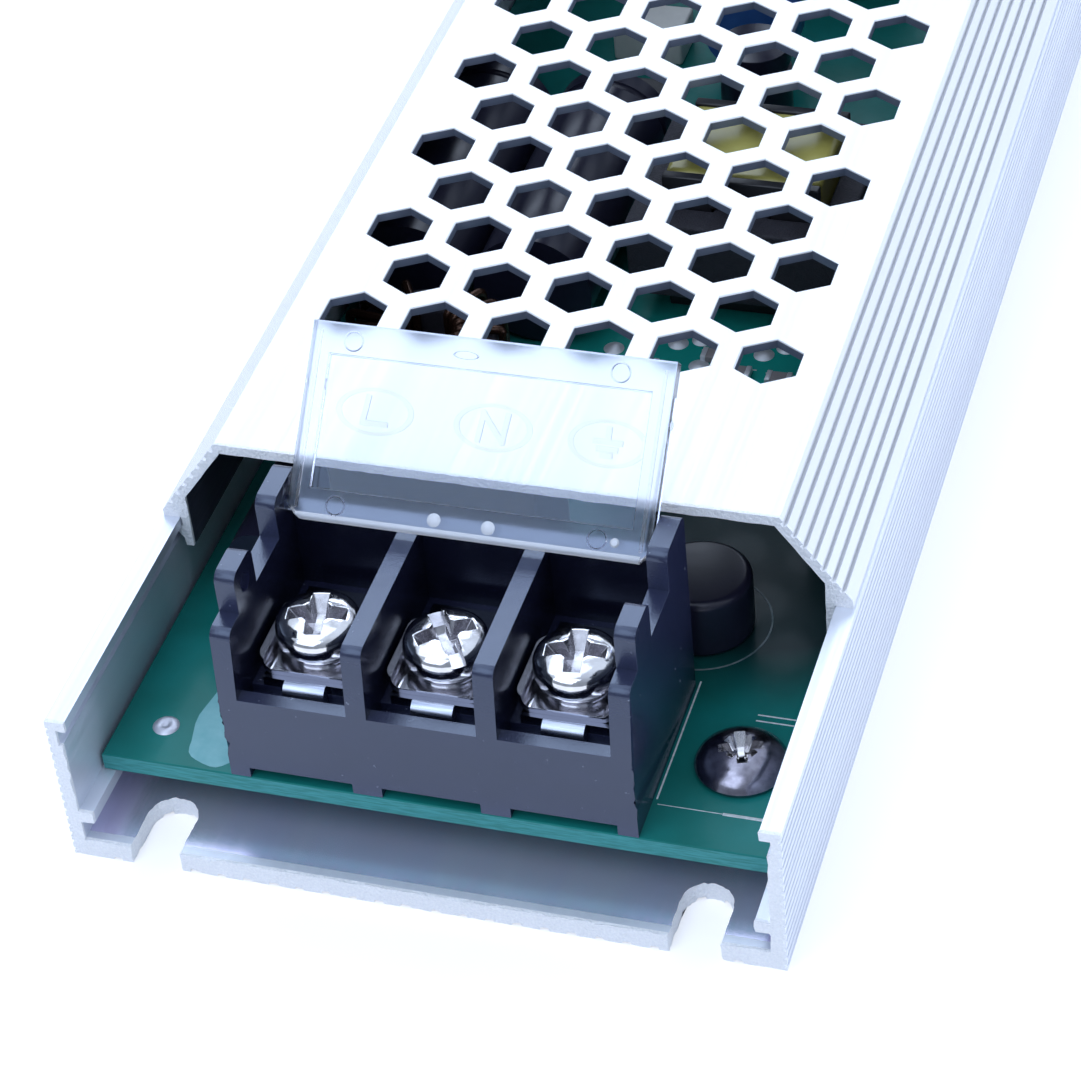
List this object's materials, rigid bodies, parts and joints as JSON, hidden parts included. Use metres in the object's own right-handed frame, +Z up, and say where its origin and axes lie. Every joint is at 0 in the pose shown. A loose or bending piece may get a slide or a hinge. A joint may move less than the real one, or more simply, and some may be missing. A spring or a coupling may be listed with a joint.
{
  "type": "enclosed power supply",
  "caption": "Slim enclosed power supply in an extruded aluminium channel with a ribbed, vented clip-in cover and screw terminals under clear flip lids at both ends.",
  "frame": {"origin": "centre of the underside of the base channel", "axes": "+X across the case, +Y along it from the input end to the output end, +Z up"},
  "size_m": [0.053, 0.19, 0.0304],
  "materials": {
    "case_aluminium": "plain extruded aluminium with die lines and saw-cut ends",
    "cover_aluminium": "plain extruded aluminium with fine ribs down its slopes",
    "board_green": "green solder mask with white print",
    "insulator_sheet": "plain insulating film",
    "standoff_steel": "plain turned steel",
    "black_screw": "blackened steel",
    "black_plastic": "moulded, slightly glossy",
    "plated_contact": "tin plated, rolled",
    "nickel_screw": "bright nickel plate",
    "plated_washer": "bright nickel plate",
    "clear_plastic": "clear moulded plastic, slightly milky",
    "yellow_box": "moulded box",
    "dark_sleeve": "shrunk sleeve",
    "blue_coat": "dipped coat",
    "ferrite": "pressed and fired, matt",
    "copper_wire": "enamelled wire",
    "winding_tape": "wrapped tape",
    "brown_coat": "dipped coat",
    "black_epoxy": "moulded epoxy",
    "white_epoxy": "moulded epoxy",
    "bar_aluminium": "plain bar",
    "green_lens": "tinted clear moulding"
  },
  "bodies": {
    "case": {"base_channel": "case_aluminium", "top_cover": "cover_aluminium", "insulating_sheet": "insulator_sheet", "circuit_board": "board_green", "board_standoffs": "standoff_steel", "board_screws": "black_screw", "input_terminal_block": "black_plastic", "input_contacts": "plated_contact", "output_terminal_block": "black_plastic", "output_contacts": "plated_contact", "fuse": "dark_sleeve", "mains_filter_capacitor": "yellow_box", "drum_choke": "dark_sleeve", "surge_varistor": "blue_coat", "filter_choke_core": "ferrite", "filter_choke_windings": "copper_wire", "film_capacitor": "brown_coat", "bridge_rectifier": "black_epoxy", "bulk_capacitors": "dark_sleeve", "transformer_core": "ferrite", "transformer_bobbin": "black_plastic", "transformer_winding": "winding_tape", "primary_heat_bar": "bar_aluminium", "primary_transistor": "black_epoxy", "controller_chip": "black_epoxy", "auxiliary_capacitor": "dark_sleeve", "safety_capacitor": "blue_coat", "optocoupler": "white_epoxy", "secondary_heat_bar": "bar_aluminium", "output_rectifier": "black_epoxy", "output_choke_core": "ferrite", "output_choke_winding": "copper_wire", "output_capacitors": "dark_sleeve", "indicator_led": "green_lens", "chip_parts": "black_epoxy"},
    "input_lid": {"input_lid": "clear_plastic"},
    "output_lid": {"output_lid": "clear_plastic"},
    "input_1_clamp": {"input_lock_washer_1": "plated_washer", "input_clamp_washer_1": "plated_washer"},
    "input_1_screw": {"input_screw_1": "nickel_screw"},
    "input_2_clamp": {"input_lock_washer_2": "plated_washer", "input_clamp_washer_2": "plated_washer"},
    "input_2_screw": {"input_screw_2": "nickel_screw"},
    "input_3_clamp": {"input_lock_washer_3": "plated_washer", "input_clamp_washer_3": "plated_washer"},
    "input_3_screw": {"input_screw_3": "nickel_screw"},
    "output_1_clamp": {"output_lock_washer_1": "plated_washer", "output_clamp_washer_1": "plated_washer"},
    "output_1_screw": {"output_screw_1": "nickel_screw"},
    "output_2_clamp": {"output_lock_washer_2": "plated_washer", "output_clamp_washer_2": "plated_washer"},
    "output_2_screw": {"output_screw_2": "nickel_screw"},
    "output_3_clamp": {"output_lock_washer_3": "plated_washer", "output_clamp_washer_3": "plated_washer"},
    "output_3_screw": {"output_screw_3": "nickel_screw"},
    "output_4_clamp": {"output_lock_washer_4": "plated_washer", "output_clamp_washer_4": "plated_washer"},
    "output_4_screw": {"output_screw_4": "nickel_screw"}
  },
  "joints": [
    {"name": "input_lid_hinge", "type": "hinge", "parent": "case", "child": "input_lid", "pos_m": [0, -0.07725, 0.02075], "axis": [1, 0, 0], "range_deg": [0, 135]},
    {"name": "output_lid_hinge", "type": "hinge", "parent": "case", "child": "output_lid", "pos_m": [0.0012, 0.07725, 0.02075], "axis": [1, 0, 0], "range_deg": [0, 135]},
    {"name": "input_1_lift", "type": "slide", "parent": "case", "child": "input_1_clamp", "axis": [0, 0, 1], "range_m": [0, 0.0025]},
    {"name": "input_1_turn", "type": "hinge", "parent": "input_1_clamp", "child": "input_1_screw", "pos_m": [-0.0095, -0.084, 0.0146], "axis": [0, 0, 1], "range_deg": [0, 2520]},
    {"name": "input_2_lift", "type": "slide", "parent": "case", "child": "input_2_clamp", "axis": [0, 0, 1], "range_m": [0, 0.0025]},
    {"name": "input_2_turn", "type": "hinge", "parent": "input_2_clamp", "child": "input_2_screw", "pos_m": [0, -0.084, 0.0146], "axis": [0, 0, 1], "range_deg": [0, 2520]},
    {"name": "input_3_lift", "type": "slide", "parent": "case", "child": "input_3_clamp", "axis": [0, 0, 1], "range_m": [0, 0.0025]},
    {"name": "input_3_turn", "type": "hinge", "parent": "input_3_clamp", "child": "input_3_screw", "pos_m": [0.0095, -0.084, 0.0146], "axis": [0, 0, 1], "range_deg": [0, 2520]},
    {"name": "output_1_lift", "type": "slide", "parent": "case", "child": "output_1_clamp", "axis": [0, 0, 1], "range_m": [0, 0.0025]},
    {"name": "output_1_turn", "type": "hinge", "parent": "output_1_clamp", "child": "output_1_screw", "pos_m": [0.01545, 0.084, 0.0146], "axis": [0, 0, 1], "range_deg": [0, 2520]},
    {"name": "output_2_lift", "type": "slide", "parent": "case", "child": "output_2_clamp", "axis": [0, 0, 1], "range_m": [0, 0.0025]},
    {"name": "output_2_turn", "type": "hinge", "parent": "output_2_clamp", "child": "output_2_screw", "pos_m": [0.00595, 0.084, 0.0146], "axis": [0, 0, 1], "range_deg": [0, 2520]},
    {"name": "output_3_lift", "type": "slide", "parent": "case", "child": "output_3_clamp", "axis": [0, 0, 1], "range_m": [0, 0.0025]},
    {"name": "output_3_turn", "type": "hinge", "parent": "output_3_clamp", "child": "output_3_screw", "pos_m": [-0.00355, 0.084, 0.0146], "axis": [0, 0, 1], "range_deg": [0, 2520]},
    {"name": "output_4_lift", "type": "slide", "parent": "case", "child": "output_4_clamp", "axis": [0, 0, 1], "range_m": [0, 0.0025]},
    {"name": "output_4_turn", "type": "hinge", "parent": "output_4_clamp", "child": "output_4_screw", "pos_m": [-0.01305, 0.084, 0.0146], "axis": [0, 0, 1], "range_deg": [0, 2520]}
  ],
  "couplings": [
    {"joint": "input_1_turn", "follows": "input_1_lift", "rad_per_m": 12566},
    {"joint": "input_2_turn", "follows": "input_2_lift", "rad_per_m": 12566},
    {"joint": "input_3_turn", "follows": "input_3_lift", "rad_per_m": 12566},
    {"joint": "output_1_turn", "follows": "output_1_lift", "rad_per_m": 12566},
    {"joint": "output_2_turn", "follows": "output_2_lift", "rad_per_m": 12566},
    {"joint": "output_3_turn", "follows": "output_3_lift", "rad_per_m": 12566},
    {"joint": "output_4_turn", "follows": "output_4_lift", "rad_per_m": 12566}
  ]
}
